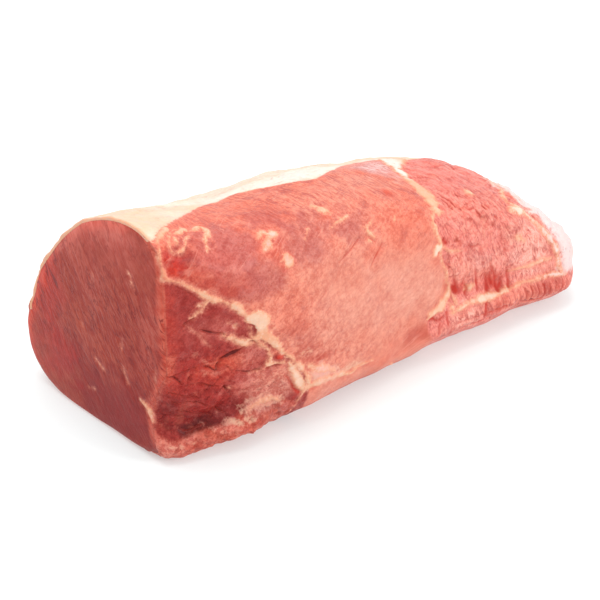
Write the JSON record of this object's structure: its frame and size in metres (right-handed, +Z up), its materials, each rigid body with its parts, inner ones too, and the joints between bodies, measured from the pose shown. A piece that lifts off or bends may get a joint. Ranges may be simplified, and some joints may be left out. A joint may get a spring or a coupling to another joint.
{
  "type": "eye of round roast",
  "caption": "Raw eye of round roast: a tapering log of lean beef with a square-cut end, a fat layer over its back, pale seams in front and a coarse, ribbed tail.",
  "frame": {"origin": "on the table under the middle of the roast's bounding box", "axes": "+X along the roast from its cut end towards its tail, +Y from the bare front towards the fat-covered back, +Z up"},
  "size_m": [0.2518, 0.1296, 0.114],
  "materials": {
    "lean": "moist raw lean beef with pale seams and fine grain",
    "fat": "satin cream fat"
  },
  "bodies": {
    "root": {"lean": "lean", "fat_cap": "fat"}
  },
  "joints": []
}
